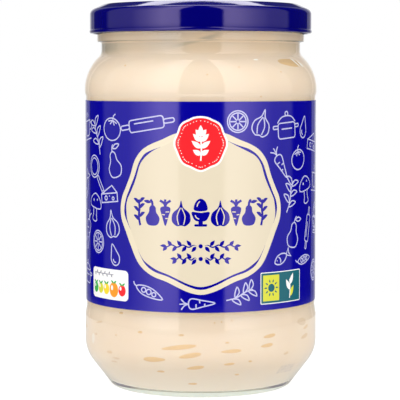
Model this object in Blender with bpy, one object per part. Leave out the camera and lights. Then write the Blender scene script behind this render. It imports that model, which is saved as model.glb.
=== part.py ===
"""A full jar of mayonnaise: a glass jar, its contents, a paper wrap label and a twist-off lid.

Every piece is turned round Z. The jar stands on the floor at Z = 0, centred on the origin,
and the middle of the label's front faces -Y. Run it with: blender --background --python part.py
"""

from math import atan2, cos, degrees, pi, radians, sin, tan

import bmesh
import bpy

MM = 0.001
SEGMENTS = 60  # facets round each turned piece
GAP = 0.3 * MM  # clearance kept between neighbouring pieces

# Glass jar, outside
HEEL_RADIUS = 44.5 * MM  # widest ring below the label
BODY_RADIUS = 44.4 * MM  # widest ring above the label
PANEL_RADIUS = 43.7 * MM  # sunk band that takes the label
PANEL_BOTTOM = 29.5 * MM
PANEL_TOP = 110.2 * MM
PANEL_STEP = 2.0 * MM  # height of the soft step at each end of the band
SHOULDER_HEIGHT = 113.0 * MM  # the straight side ends and the shoulder bends in
SHOULDER_BEND = 17.4 * MM
HEEL_HEIGHT = 19.5 * MM  # the straight side begins above the bend of the heel
HEEL_BEND = 17.0 * MM
HEEL_ANGLE = 38.7  # degrees from upright of the slope that runs down to the foot
REST_RADIUS = 32.7 * MM  # the jar rests on a flat ring inside this
REST_WIDTH = 2.5 * MM
FOOT_BEND = 2.0 * MM
PUSH_UP = 3.0 * MM  # rise of the underside at its centre
NECK_RADIUS = 38.0 * MM
NECK_BOTTOM = 126.6 * MM
BEAD_RADIUS = 39.55 * MM  # ring of glass just under the lid
BEAD_BOTTOM = 131.1 * MM
BEAD_TOP = 134.2 * MM
BEAD_EDGE = 0.5 * MM  # chamfer of the bead
FINISH_RADIUS = 37.9 * MM  # wall that carries the thread
RIM_TOP = 143.9 * MM
RIM_BEND = 1.1 * MM

# Glass jar, inside
INNER_RADIUS = 41.7 * MM
MOUTH_RADIUS = 35.4 * MM
FLOOR_HEIGHT = 4.2 * MM  # inside floor at its rim
FLOOR_DOME = 1.4 * MM  # extra height of the inside floor at its centre
FLOOR_BEND = 3.0 * MM

# Thread of short sloping ramps, and the lid's lugs that sit under them
LUGS = 6
RAMP_SPAN = 42.0  # degrees
RAMP_START = 140.0 * MM  # height of a ramp's upper end
RAMP_DROP = 2.0 * MM
RAMP_HEIGHT = 1.5 * MM  # how far a ramp stands out
RAMP_HALF_WIDTH = 1.4 * MM
FINISH_RINGS = 7  # rings of points on the finish, which carry the ramps
LUG_SPAN = 13.0  # degrees
LUG_PRESS = 1.7 * MM  # how far the curl is pushed in at a lug

# Contents
FILL_HEIGHT = 137.0 * MM
FILL_CROWN = 0.8 * MM  # the middle stands a little higher

# Label
LABEL_BOTTOM = 32.85 * MM
LABEL_TOP = 109.05 * MM
LABEL_THICKNESS = 0.2 * MM

# Lid
LID_RADIUS = 42.3 * MM
LID_BOTTOM = 134.3 * MM
LID_TOP = 145.35 * MM
LID_WALL = 0.6 * MM
CURL_BEND = 0.75 * MM  # roll of the lower edge
CURL_PROUD = 0.2 * MM  # how far the roll stands out from the skirt
CORNER_HEIGHT = 141.55 * MM  # the skirt ends and bends over into the top
CORNER_BEND = 2.3 * MM
TOP_SLOPE = 25.0  # degrees of the slope that rises to the crest
CREST_RADIUS = 37.0 * MM  # highest ring of the top
CREST_BEND = 1.1 * MM
CREST_WALL = 1.0 * MM  # height of the crest over the sealing channel under it
TOP_PANEL_RADIUS = 34.5 * MM
TOP_PANEL_DROP = 1.35 * MM  # the panel lies this far below the crest
RING_RADIUS = 27.0 * MM  # shallow ring stamped in the panel
BUTTON_RADIUS = 13.5 * MM
STAMP_EDGE = 1.0 * MM  # width of each stamped step
STAMP_DROP = 0.4 * MM

# Base colour, roughness, transmission
GLASS_LOOK = ((0.93, 0.97, 0.93), 0.03, 1.0)
MAYONNAISE_LOOK = ((0.86, 0.71, 0.50), 0.35, 0.0)
LABEL_LOOK = ((0.004, 0.002, 0.33), 0.3, 0.0)
LID_LOOK = ((0.002, 0.001, 0.13), 0.15, 0.0)


def clear_scene():
    for item in list(bpy.data.objects):
        bpy.data.objects.remove(item, do_unlink=True)


def make_material(name, look):
    colour, roughness, transmission = look
    material = bpy.data.materials.new(name)
    material.use_nodes = True
    shader = material.node_tree.nodes["Principled BSDF"]
    shader.inputs["Base Color"].default_value = (*colour, 1.0)
    shader.inputs["Metallic"].default_value = 0.0
    shader.inputs["Roughness"].default_value = roughness
    shader.inputs["Transmission Weight"].default_value = transmission
    return material


def arc(centre_radius, centre_height, bend, start, end, steps):
    """Points of an arc in the plane of radius and height, with angles in degrees from +radius."""
    turns = [radians(start + (end - start) * i / steps) for i in range(steps + 1)]
    return [(centre_radius + bend * cos(turn), centre_height + bend * sin(turn)) for turn in turns]


def jar_underside():
    inner_rest = REST_RADIUS - REST_WIDTH
    return [
        (0.0, PUSH_UP),
        (0.6 * inner_rest, 0.85 * PUSH_UP),
        (inner_rest - 1.5 * MM, 0.5 * PUSH_UP),
        (inner_rest, 0.0),
    ]


def jar_side():
    """From the foot up over the heel, the label's band, the shoulder and the neck to the bead."""
    foot = arc(REST_RADIUS, FOOT_BEND, FOOT_BEND, -90, -HEEL_ANGLE, 2)
    heel = arc(HEEL_RADIUS - HEEL_BEND, HEEL_HEIGHT, HEEL_BEND, -HEEL_ANGLE, 0, 6)
    panel = [
        (HEEL_RADIUS, PANEL_BOTTOM - PANEL_STEP),
        (PANEL_RADIUS, PANEL_BOTTOM),
        (PANEL_RADIUS, PANEL_TOP),
        (BODY_RADIUS, PANEL_TOP + PANEL_STEP),
    ]
    shoulder = arc(BODY_RADIUS - SHOULDER_BEND, SHOULDER_HEIGHT, SHOULDER_BEND, 0, 45, 6)
    neck = [(NECK_RADIUS, NECK_BOTTOM), (NECK_RADIUS, BEAD_BOTTOM - BEAD_EDGE)]
    bead = [
        (BEAD_RADIUS - BEAD_EDGE, BEAD_BOTTOM),
        (BEAD_RADIUS, BEAD_BOTTOM + BEAD_EDGE),
        (BEAD_RADIUS, BEAD_TOP - BEAD_EDGE),
        (BEAD_RADIUS - BEAD_EDGE, BEAD_TOP),
        (FINISH_RADIUS, BEAD_TOP + BEAD_EDGE),
    ]
    return foot + heel + panel + shoulder + neck + bead


def jar_finish():
    """The wall that carries the thread, and the round rim down to the inside of the mouth."""
    first = BEAD_TOP + 1.6 * MM
    last = RIM_TOP - RIM_BEND
    rings = [(FINISH_RADIUS, first + (last - first) * i / FINISH_RINGS) for i in range(FINISH_RINGS)]
    outer_lip = arc(FINISH_RADIUS - RIM_BEND, last, RIM_BEND, 0, 90, 2)
    inner_lip = arc(MOUTH_RADIUS + RIM_BEND, last, RIM_BEND, 90, 180, 2)
    return rings + outer_lip + inner_lip


def jar_inside(clearance=0.0):
    """From the bottom of the mouth to the centre of the floor, kept off the glass by a clearance."""
    radius = INNER_RADIUS - clearance
    mouth = MOUTH_RADIUS - clearance
    shoulder_centre = BODY_RADIUS - SHOULDER_BEND
    heel_centre = HEEL_RADIUS - HEEL_BEND
    shoulder = arc(shoulder_centre, SHOULDER_HEIGHT, radius - shoulder_centre, 45, 0, 4)
    heel = arc(heel_centre, HEEL_HEIGHT, radius - heel_centre, 0, -HEEL_ANGLE, 4)
    mouth_end = (mouth, shoulder[0][1] + shoulder[0][0] - mouth)

    floor = FLOOR_HEIGHT + clearance
    bend = FLOOR_BEND - clearance
    slope_radius = heel[-1][0] - (heel[-1][1] - floor) * tan(radians(HEEL_ANGLE))
    corner_centre = slope_radius - bend * tan(radians((90 - HEEL_ANGLE) / 2))
    corner = arc(corner_centre, floor + bend, bend, -HEEL_ANGLE, -90, 2)
    return [mouth_end] + shoulder + heel + corner + [(0.0, floor + FLOOR_DOME)]


def turn(name, outline, material, closed=False):
    """Spins an outline of radius and height pairs round Z into one smooth solid."""
    mesh = bpy.data.meshes.new(name)
    shape = bmesh.new()
    points = [shape.verts.new((radius, 0.0, height)) for radius, height in outline]
    edges = [shape.edges.new(pair) for pair in zip(points, points[1:])]
    if closed:
        edges.append(shape.edges.new((points[-1], points[0])))
    bmesh.ops.spin(
        shape, geom=points + edges, cent=(0, 0, 0), axis=(0, 0, 1),
        angle=2 * pi, steps=SEGMENTS, use_merge=True,
    )
    bmesh.ops.remove_doubles(shape, verts=shape.verts, dist=0.001 * MM)
    bmesh.ops.recalc_face_normals(shape, faces=shape.faces)
    shape.to_mesh(mesh)
    shape.free()
    mesh.shade_smooth()
    mesh.set_sharp_from_angle(angle=radians(35))
    mesh.materials.append(material)
    piece = bpy.data.objects.new(name, mesh)
    bpy.context.scene.collection.objects.link(piece)
    return piece


def degrees_round(point):
    """Angle of a point round Z, from 0 to 360 degrees, counted from the front."""
    return degrees(atan2(point.x, -point.y)) % 360


def raise_thread(jar):
    """Draws the sloping ramps out of the wall of the finish, all alike."""
    for vertex in jar.data.vertices:
        height = vertex.co.z
        radius = vertex.co.xy.length
        on_finish = abs(radius - FINISH_RADIUS) < 0.05 * MM and height > BEAD_TOP + 2 * BEAD_EDGE
        along = (degrees_round(vertex.co) % (360 / LUGS)) / RAMP_SPAN
        if not on_finish or along > 1:
            continue
        off_centre = abs(height - (RAMP_START - RAMP_DROP * along)) / RAMP_HALF_WIDTH
        ends = min(1.0, 4 * along, 4 * (1 - along))
        push = RAMP_HEIGHT * ends * max(0.0, 1 - off_centre)
        vertex.co.xy *= (radius + push) / radius


def press_lugs(lid):
    """Pushes the inner side of the rolled edge in, where the lugs sit under the thread."""
    pitch = 360 / LUGS
    for vertex in lid.data.vertices:
        radius = vertex.co.xy.length
        from_lug = abs(degrees_round(vertex.co) % pitch - pitch / 2)
        in_curl = vertex.co.z < LID_BOTTOM + 2 * CURL_BEND and radius < LID_RADIUS - CURL_BEND
        if in_curl and from_lug < LUG_SPAN / 2:
            vertex.co.xy *= (radius - LUG_PRESS) / radius


def make_jar():
    outline = jar_underside() + jar_side() + jar_finish() + jar_inside()
    jar = turn("glass_jar", outline, make_material("clear_glass", GLASS_LOOK))
    raise_thread(jar)


def make_contents():
    edge = MOUTH_RADIUS - GAP
    surface = [(0.0, FILL_HEIGHT + FILL_CROWN), (0.7 * edge, FILL_HEIGHT + 0.4 * FILL_CROWN)]
    outline = surface + [(edge, FILL_HEIGHT)] + jar_inside(GAP)
    turn("mayonnaise", outline, make_material("mayonnaise_cream", MAYONNAISE_LOOK))


def make_label():
    inner = PANEL_RADIUS + GAP
    outer = inner + LABEL_THICKNESS
    outline = [(inner, LABEL_BOTTOM), (outer, LABEL_BOTTOM), (outer, LABEL_TOP), (inner, LABEL_TOP)]
    turn("label", outline, make_material("printed_paper", LABEL_LOOK), closed=True)


def lid_panel(drop):
    """The stamped middle of the top, from the crest's foot to the centre, lowered by a drop."""
    panel = LID_TOP - TOP_PANEL_DROP - drop
    return [
        (TOP_PANEL_RADIUS, panel),
        (RING_RADIUS, panel),
        (RING_RADIUS - STAMP_EDGE, panel - STAMP_DROP),
        (BUTTON_RADIUS, panel - STAMP_DROP),
        (BUTTON_RADIUS - STAMP_EDGE, panel - 2 * STAMP_DROP),
        (0.0, panel - 2 * STAMP_DROP),
    ]


def make_lid():
    """A pressed cup: rolled lower edge, straight skirt, round corner, raised ring and sunk panel."""
    curl = (LID_RADIUS + CURL_PROUD - CURL_BEND, LID_BOTTOM + CURL_BEND, CURL_BEND)
    corner_centre = LID_RADIUS - CORNER_BEND
    channel = LID_TOP - CREST_WALL
    outside = arc(*curl, -90, 45, 4)
    outside += arc(corner_centre, CORNER_HEIGHT, CORNER_BEND, 0, 90 - TOP_SLOPE, 4)
    outside += arc(CREST_RADIUS, LID_TOP - CREST_BEND, CREST_BEND, 90 - TOP_SLOPE, 140, 3)
    outside += lid_panel(0.0)
    inside = lid_panel(LID_WALL)[::-1]
    inside += [(CREST_RADIUS - CREST_WALL, channel), (CREST_RADIUS + CREST_WALL, channel)]
    inside += arc(corner_centre, CORNER_HEIGHT, CORNER_BEND - LID_WALL, 90 - TOP_SLOPE, 0, 2)
    inside.append((LID_RADIUS - LID_WALL, LID_BOTTOM + 3 * CURL_BEND))
    inside += arc(*curl, 120, 225, 3)
    lid = turn("lid", outside + inside, make_material("blue_enamel", LID_LOOK), closed=True)
    press_lugs(lid)


def main():
    clear_scene()
    make_jar()
    make_contents()
    make_label()
    make_lid()


main()
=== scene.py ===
import random
from math import cos, pi, radians, sin, sqrt, tan

import bmesh
import bpy
import numpy as np
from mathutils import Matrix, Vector
from mathutils.geometry import delaunay_2d_cdt


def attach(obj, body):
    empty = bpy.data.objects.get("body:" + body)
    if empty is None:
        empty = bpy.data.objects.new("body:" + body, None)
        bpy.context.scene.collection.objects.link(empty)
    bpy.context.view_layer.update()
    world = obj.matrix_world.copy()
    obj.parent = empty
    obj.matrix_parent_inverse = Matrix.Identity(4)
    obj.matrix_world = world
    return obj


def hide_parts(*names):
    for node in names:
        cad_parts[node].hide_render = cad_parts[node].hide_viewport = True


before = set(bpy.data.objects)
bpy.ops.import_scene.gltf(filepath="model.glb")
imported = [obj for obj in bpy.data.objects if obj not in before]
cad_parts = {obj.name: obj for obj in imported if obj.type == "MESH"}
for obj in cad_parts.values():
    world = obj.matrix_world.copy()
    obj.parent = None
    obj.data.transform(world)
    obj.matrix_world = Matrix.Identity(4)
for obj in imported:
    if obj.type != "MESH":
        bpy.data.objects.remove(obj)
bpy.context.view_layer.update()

mm = 0.001


def metres(sizes):
    return [size * mm for size in sizes]


# Shader and geometry node trees, written as Python expressions

class Wire:
    # one output socket: operators on it add Math nodes
    def __init__(self, tree, socket):
        self.tree = tree
        self.socket = socket

    def math(self, operation, *others, clamp=False):
        settings = {"operation": operation, "use_clamp": clamp}
        return self.tree.add("ShaderNodeMath", settings, dict(enumerate((self, *others))))

    def __add__(self, other):
        return self.math("ADD", other)

    def __sub__(self, other):
        return self.math("SUBTRACT", other)

    def __rsub__(self, other):
        return (self * -1.0).math("ADD", other)

    def __mul__(self, other):
        return self.math("MULTIPLY", other)

    def __truediv__(self, other):
        return self.math("DIVIDE", other)

    def __abs__(self):
        return self.math("ABSOLUTE")

    __radd__ = __add__
    __rmul__ = __mul__

    def clamped(self):
        return self.math("ADD", 0.0, clamp=True)

    def between(self, low, high):
        # 0 below low, 1 above high, smooth between
        return self.tree.add("ShaderNodeMapRange", {"interpolation_type": "SMOOTHSTEP"},
                             {"Value": self, "From Min": low, "From Max": high}, "Result")

    def band(self, start, low, high, end):
        # 1 from low to high, fading away towards start and end
        return self.between(start, low) * (1 - self.between(high, end))


class Tree:
    def __init__(self, tree):
        self.tree = tree
        tree.nodes.clear()

    def add(self, kind, settings=None, values=None, out=0):
        node = self.tree.nodes.new(kind)
        for key, value in (settings or {}).items():
            if key == "stops":
                fillRamp(node.color_ramp, value)
            else:
                setattr(node, key, value)
        for key, value in (values or {}).items():
            if isinstance(value, Wire):
                self.tree.links.new(value.socket, node.inputs[key])
            else:
                node.inputs[key].default_value = value
        if out is None:
            return node
        return Wire(self, node.outputs[out])

    def vector(self, operation, *values):
        out = "Value" if operation == "LENGTH" else "Vector"
        return self.add("ShaderNodeVectorMath", {"operation": operation}, dict(enumerate(values)), out)

    def join(self, x, y, z):
        return self.add("ShaderNodeCombineXYZ", {}, {0: x, 1: y, 2: z})

    def split(self, vector):
        node = self.add("ShaderNodeSeparateXYZ", {}, {0: vector}, None)
        return [Wire(self, output) for output in node.outputs]

    def mixColour(self, share, low, high):
        # sockets 0, 6 and 7 are the factor and the two colours, and output 2 is the mixed colour
        low, high = [value if isinstance(value, Wire) else (*value, 1.0) for value in (low, high)]
        return self.add("ShaderNodeMix", {"data_type": "RGBA"}, {0: share, 6: low, 7: high}, 2)

    def place(self):
        return self.add("ShaderNodeTexCoord", out="Object")

    def noise(self, place, scale, detail, distortion=0.0):
        values = {"Vector": place, "Scale": scale, "Detail": detail, "Distortion": distortion}
        return self.add("ShaderNodeTexNoise", {}, values, "Fac")

    def bump(self, height, strength, depth, under=None):
        # depth in mm; under is the normal that this one is laid on
        values = {"Height": height, "Strength": strength, "Distance": depth * mm}
        if under is not None:
            values["Normal"] = under
        return self.add("ShaderNodeBump", {}, values, "Normal")

    def ray(self, kind):
        return self.add("ShaderNodeLightPath", out="Is %s Ray" % kind)

    def surface(self, colour, roughness, values):
        colour = colour if isinstance(colour, Wire) else (*colour, 1.0)
        values = {"Base Color": colour, "Roughness": roughness, **values}
        return self.add("ShaderNodeBsdfPrincipled", {}, values, "BSDF")


def fillRamp(ramp, stops):
    while len(ramp.elements) < len(stops):
        ramp.elements.new(0.5)
    for element, (place, value) in zip(ramp.elements, stops):
        element.position = place
        element.color = (value, value, value, 1.0)


def newMaterial(name):
    material = bpy.data.materials.new(name)
    material.use_nodes = True
    return material, Tree(material.node_tree)


def finishMaterial(tree, shader):
    tree.add("ShaderNodeOutputMaterial", {}, {"Surface": shader}, None)


def geometryTree(name, inputs):
    group = bpy.data.node_groups.new(name, "GeometryNodeTree")
    group.interface.new_socket("Geometry", in_out="INPUT", socket_type="NodeSocketGeometry")
    for label, kind in inputs.items():
        group.interface.new_socket(label, in_out="INPUT", socket_type="NodeSocket" + kind)
    group.interface.new_socket("Geometry", in_out="OUTPUT", socket_type="NodeSocketGeometry")
    tree = Tree(group)
    source = tree.add("NodeGroupInput", out=None)
    return tree, {output.name: Wire(tree, output) for output in source.outputs if output.name}


def closeTree(tree, geometry, material):
    solid = tree.add("GeometryNodeRealizeInstances", {}, {"Geometry": geometry})
    painted = tree.add("GeometryNodeSetMaterial", {}, {"Geometry": solid, "Material": material})
    tree.add("NodeGroupOutput", {}, {"Geometry": painted}, None)
    return tree.tree


def grow(name, seedMesh, group, values):
    # runs a geometry node tree on a seed mesh and keeps the result as a plain mesh object
    seed = bpy.data.objects.new(name + "Seed", seedMesh)
    bpy.context.scene.collection.objects.link(seed)
    modifier = seed.modifiers.new("grow", "NODES")
    modifier.node_group = group
    for item in group.interface.items_tree:
        if item.in_out == "INPUT" and item.name in values:
            modifier[item.identifier] = values[item.name]
    graph = bpy.context.evaluated_depsgraph_get()
    mesh = bpy.data.meshes.new_from_object(seed.evaluated_get(graph), depsgraph=graph)
    mesh.name = name
    bpy.data.objects.remove(seed, do_unlink=True)
    piece = bpy.data.objects.new(name, mesh)
    bpy.context.scene.collection.objects.link(piece)
    return piece


# Turned pieces: an outline of radius and height pairs, in mm, carried round Z

turning = {"segments": 192, "axisRadius": 0.02, "mergeWithin": 1e-6, "sharpAngle": 40.0}


def latheTree():
    tree, given = geometryTree("lathe", {"Segments": "Int", "Axis Radius": "Float", "Material": "Material"})
    profile = tree.add("GeometryNodeMeshToCurve", {}, {"Mesh": given["Geometry"]})
    path = tree.add("GeometryNodeCurvePrimitiveCircle", {},
                    {"Resolution": given["Segments"], "Radius": given["Axis Radius"]})
    turned = tree.add("GeometryNodeCurveToMesh", {}, {"Curve": path, "Profile Curve": profile})
    merged = tree.add("GeometryNodeMergeByDistance", {}, {
        "Geometry": turned, "Distance": turning["mergeWithin"]})
    smooth = tree.add("GeometryNodeSetShadeSmooth", {}, {"Geometry": merged})
    return closeTree(tree, smooth, given["Material"])


lathe = latheTree()


def turn(name, outline, material, closed=False):
    # the profile's x points away from the axis and its y points down
    points = [((r * mm) - turning["axisRadius"], -h * mm, 0.0) for r, h in outline]
    edges = [(i, i + 1) for i in range(len(points) - 1)] + ([(len(points) - 1, 0)] if closed else [])
    seedMesh = bpy.data.meshes.new(name + "Outline")
    seedMesh.from_pydata(points, edges, [])
    values = {"Segments": turning["segments"], "Axis Radius": turning["axisRadius"], "Material": material}
    piece = grow(name, seedMesh, lathe, values)
    turnOutwards(piece.data)
    piece.data.set_sharp_from_angle(angle=radians(turning["sharpAngle"]))
    return piece


def turnOutwards(mesh):
    work = bmesh.new()
    work.from_mesh(mesh)
    bmesh.ops.recalc_face_normals(work, faces=work.faces)
    work.to_mesh(mesh)
    work.free()


def arc(centreRadius, centreHeight, bend, start, end, steps):
    turns = [radians(start + (end - start) * i / steps) for i in range(steps + 1)]
    return [(centreRadius + bend * cos(t), centreHeight + bend * sin(t)) for t in turns]


def wave(low, high, bottom, top, steps=8):
    # an S-shaped change of radius between two heights
    eases = [(1 - cos(pi * i / steps)) / 2 for i in range(steps + 1)]
    return [(low + (high - low) * ease, bottom + (top - bottom) * i / steps) for i, ease in enumerate(eases)]


def finishPiece(piece, slotName, *nodes):
    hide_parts(*nodes)
    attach(piece, "root")


# Glass jar

jar = {
    "restRadius": 33.5, "restWidth": 2.5, "footBend": 1.9,
    "pushUp": 3.0, "pushUpFall": 1.4, "pushUpReach": 0.92, "stepReach": 0.94, "stepDrop": 0.15,
    # a groove round the foot: heights above seamHeight, and shares of seamDepth
    "seamHeight": 2.6, "seamDepth": 0.14, "seamGroove": [(-0.14, 0), (0.0, 1), (0.1, 1), (0.2, 0)],
    "heelRadius": 44.5, "heelHeight": 17.6, "heelBend": 13.0, "heelAngle": 37.3, "heelTop": 26.5,
    "panelRadius": 43.95, "panelBottom": 31.0, "panelTop": 110.2,
    "bodyRadius": 44.4, "bodyBottom": 112.4,
    "shoulderHeight": 113.0, "shoulderBend": 17.4, "shoulderAngle": 46.5,
    "neckRadius": 38.0, "neckBottom": 127.8, "neckBend": 3.0,
    "beadRadius": 39.55, "beadBottom": 131.1, "beadTop": 134.2, "beadEdge": 0.6, "beadFoot": 0.7,
    "finishRadius": 37.9, "finishGap": 0.4, "finishRow": 0.6, "finishRows": 14,
    "rimTop": 143.9, "rimBend": 1.1, "innerRadius": 41.7, "mouthRadius": 35.4, "mouthLead": (1.2, 0.4),
    "floorHeight": 2.7, "floorDome": 2.5, "floorBend": 1.5,
    "markAngle": 52.5, "markHeight": 10.3,
}
glass = {
    "tint": (0.965, 0.985, 0.965), "footTint": (0.95, 0.98, 0.97), "shadowTint": (0.97, 0.98, 0.97),
    "sheen": (0.65, 0.65, 0.68), "seamFade": 0.2,
    "rippleScale": 30.0, "rippleStrength": 0.15, "rippleDepth": 0.6,
    "streaks": 1.1, "streakScale": 110.0, "streakSquash": 2.6, "streakTwist": 1.2, "streakStart": (-2.0, 1.0),
    "mark": {"halfWidth": (4.2, 4.9), "halfHeight": (1.2, 1.6), "dotScale": 1000.0, "dotEdge": (0.15, 0.5)},
    "markStrength": 0.6, "markDepth": 0.15,
}


def jarInside(moveOut=0.0):
    # from the bottom of the mouth down to the centre of the floor; the throat slopes at 45 degrees
    radius = jar["innerRadius"] + moveOut
    mouth = jar["mouthRadius"] + moveOut
    shoulderCentre = jar["bodyRadius"] - jar["shoulderBend"]
    heelCentre = jar["heelRadius"] - jar["heelBend"]
    shoulder = arc(shoulderCentre, jar["shoulderHeight"], radius - shoulderCentre, 45, 0, 16)
    heel = arc(heelCentre, jar["heelHeight"], radius - heelCentre, 0, -jar["heelAngle"], 16)
    mouthEnd = shoulder[0][1] + shoulder[0][0] - mouth
    neck = [(mouth, mouthEnd + lead) for lead in jar["mouthLead"]]
    floor = jar["floorHeight"] - moveOut
    bend = jar["floorBend"] + moveOut
    slopeRadius = heel[-1][0] - (heel[-1][1] - floor) * tan(radians(jar["heelAngle"]))
    cornerCentre = slopeRadius - bend * tan(radians((90 - jar["heelAngle"]) / 2))
    corner = arc(cornerCentre, floor + bend, bend, -jar["heelAngle"], -90, 8)
    dome = [(cornerCentre * (1 - i / 10), floor + jar["floorDome"] * sin(pi / 2 * i / 10))
            for i in range(1, 11)]
    return neck + shoulder + heel + corner + dome


def jarBase():
    # the push-up, the ring that the jar rests on, and the slope with its groove up to the heel
    innerRest = jar["restRadius"] - jar["restWidth"]
    reach, fall = jar["pushUpReach"], jar["pushUpFall"]
    base = [(innerRest * i / 10 * reach, jar["pushUp"] - fall * (i / 10) ** 2) for i in range(11)]
    base += wave(innerRest * jar["stepReach"], innerRest, jar["pushUp"] - fall - jar["stepDrop"], 0.0, 5)
    base += arc(jar["restRadius"], jar["footBend"], jar["footBend"], -90, -jar["heelAngle"], 6)
    slopeRadius, slopeHeight = base[-1]
    slope = tan(radians(jar["heelAngle"]))
    for above, share in jar["seamGroove"]:
        up = jar["seamHeight"] + above
        base.append((slopeRadius + (up - slopeHeight) * slope - share * jar["seamDepth"], up))
    return base


def jarOutside():
    heelCentre = jar["heelRadius"] - jar["heelBend"]
    heel = arc(heelCentre, jar["heelHeight"], jar["heelBend"], -jar["heelAngle"], 0, 24)
    lower = wave(jar["heelRadius"], jar["panelRadius"], jar["heelTop"], jar["panelBottom"])
    upper = wave(jar["panelRadius"], jar["bodyRadius"], jar["panelTop"], jar["bodyBottom"])
    bend = jar["shoulderBend"]
    shoulder = arc(jar["bodyRadius"] - bend, jar["shoulderHeight"], bend, 0, jar["shoulderAngle"], 24)
    bend = jar["neckBend"]
    neckCorner = arc(jar["neckRadius"] + bend, jar["neckBottom"], bend, 225, 180, 8)
    bend = jar["beadFoot"]
    bead = arc(jar["neckRadius"] + bend, jar["beadBottom"] - bend, bend, 180, 90, 5)
    bend = jar["beadEdge"]
    bead += arc(jar["beadRadius"] - bend, jar["beadBottom"] + bend, bend, -90, 0, 5)
    bead += arc(jar["beadRadius"] - bend, jar["beadTop"] - bend, bend, 0, 90, 5)
    finishBottom = jar["beadTop"] + jar["finishGap"]
    finish = [(jar["finishRadius"], finishBottom + jar["finishRow"] * i) for i in range(jar["finishRows"])]
    bend = jar["rimBend"]
    lip = arc(jar["finishRadius"] - bend, jar["rimTop"] - bend, bend, 0, 90, 6)
    lip += arc(jar["mouthRadius"] + bend, jar["rimTop"] - bend, bend, 90, 180, 6)
    return jarBase() + heel + lower + upper + shoulder + neckCorner + bead + finish + lip


def mouldMark(tree, place, sizes):
    # a stippled bar low on the right: where it is, and its dots
    x, y, z = tree.split(place)
    angle = radians(jar["markAngle"])
    across = abs(x * cos(angle) + y * sin(angle))
    away = abs(z - jar["markHeight"] * mm)
    bar = (1 - across.between(*metres(sizes["halfWidth"]))) * (1 - away.between(*metres(sizes["halfHeight"])))
    cells = tree.add("ShaderNodeTexVoronoi", {}, {"Vector": place, "Scale": sizes["dotScale"]}, "Distance")
    return bar * x.math("GREATER_THAN", 0.0), 1 - cells.between(*sizes["dotEdge"])


def glassMaterial():
    material, tree = newMaterial("clearGlass")
    place = tree.place()
    z = tree.split(place)[2]
    ripple = tree.noise(place, glass["rippleScale"], 1.0)
    drawn = tree.vector("MULTIPLY", place, (1.0, 1.0, glass["streakSquash"]))
    streaks = tree.noise(drawn, glass["streakScale"], 2.0, glass["streakTwist"])
    neck = z.between(*metres(jar["neckBottom"] + up for up in glass["streakStart"]))
    relief = ripple + streaks * neck * glass["streaks"]
    normal = tree.bump(relief, glass["rippleStrength"], glass["rippleDepth"])
    mark, dots = mouldMark(tree, place, glass["mark"])
    normal = tree.bump(dots * mark, glass["markStrength"], glass["markDepth"], normal)
    seam = z.between(*metres((jar["seamHeight"] - glass["seamFade"], jar["seamHeight"])))
    clear = tree.surface(tree.mixColour(seam, glass["footTint"], glass["tint"]), 0.0, {
        "IOR": 1.5, "Specular Tint": (*glass["sheen"], 1.0), "Transmission Weight": 1.0, "Normal": normal})
    # shadow rays and diffuse rays pass straight through
    through = tree.add("ShaderNodeBsdfTransparent", {}, {"Color": (*glass["shadowTint"], 1.0)}, "BSDF")
    rays = (tree.ray("Shadow") + tree.ray("Diffuse")).clamped()
    finishMaterial(tree, tree.add("ShaderNodeMixShader", {}, {0: rays, 1: clear, 2: through}, "Shader"))
    return material


def makeJar():
    piece = turn("jarGlass", jarOutside() + jarInside(), glassMaterial())
    finishPiece(piece, "glass", "glass_jar")
    print("glass jar: %d faces" % len(piece.data.polygons))


# Contents: they reach just into the wall of the glass

label = {
    "bottom": 32.85, "top": 109.05, "radius": 44.22, "thickness": 0.1, "gridAngle": 1.5, "mergeWithin": 1e-4,
    "overlap": 5.0, "lapLength": 4.0, "lapLift": 1.4,
    "roughness": 0.09, "blueSheen": (0.82, 0.66, 1.0), "paleSheen": (0.6, 0.55, 0.55),
    "fibreScale": 1800.0, "fibreStrength": 0.06, "fibreDepth": 0.06,
}
contents = {
    "intoWall": 0.08, "fillHeight": 137.0, "crown": 0.8,
    "cream": (0.74, 0.60, 0.468), "warmCream": (0.73, 0.58, 0.445),
    "mottleScale": 55.0, "mottle": (0.35, 0.7), "lowCream": (0.735, 0.64, 0.53), "lowHeights": (3.0, 17.0),
    "roughness": 0.5, "scatter": 0.25, "scatterTint": (1.0, 0.75, 0.5), "scatterDepth": 2.0,
}
neckShade = {
    # painted shade on the neck: two darker colours mixed by a mottle, and a grey on its left side
    "heights": (123.0, 129.0), "colours": [(0.55, 0.45, 0.35), (0.66, 0.50, 0.35)],
    "shadeMottleScale": 26.0, "shadeMottle": (0.4, 0.62), "grey": (0.36, 0.32, 0.26), "greySide": (-37.0, -22.0),
    # greyBase and greyMottle set the painted shade on the left; beadLift is a painted highlight on the bead
    "greyBase": 0.7, "greyMottle": 0.5, "greyAtBead": 0.6, "beadHeights": (130.2, 131.2), "beadLift": 1.3,
    "streakHeight": 131.4, "streakSlope": 0.26, "streakThickness": (0.2, 1.1), "streakStrength": 0.55,
    "streakReach": (-13.0, -6.0, 2.0, 9.0), "streakColour": (0.40, 0.34, 0.25),
    # painted shade in the dark gap under the lid
    "headHeights": (133.5, 134.3), "headColour": (0.22, 0.17, 0.11),
}
# painted shadow and painted light along the label's edges, on the contents
edgeShade = {"above": (0.80, 0.63, 0.45), "below": (1.0, 0.78, 0.53), "reach": 2.4, "lap": 0.2}
# painted shade of the mould mark, on the contents behind the glass
markShade = {
    "halfWidth": (4.0, 4.7), "halfHeight": (1.2, 1.7), "dotScale": 850.0, "dotEdge": (0.2, 0.6),
    "base": 0.3, "dots": 0.5, "colour": (0.56, 0.47, 0.42),
}
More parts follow.
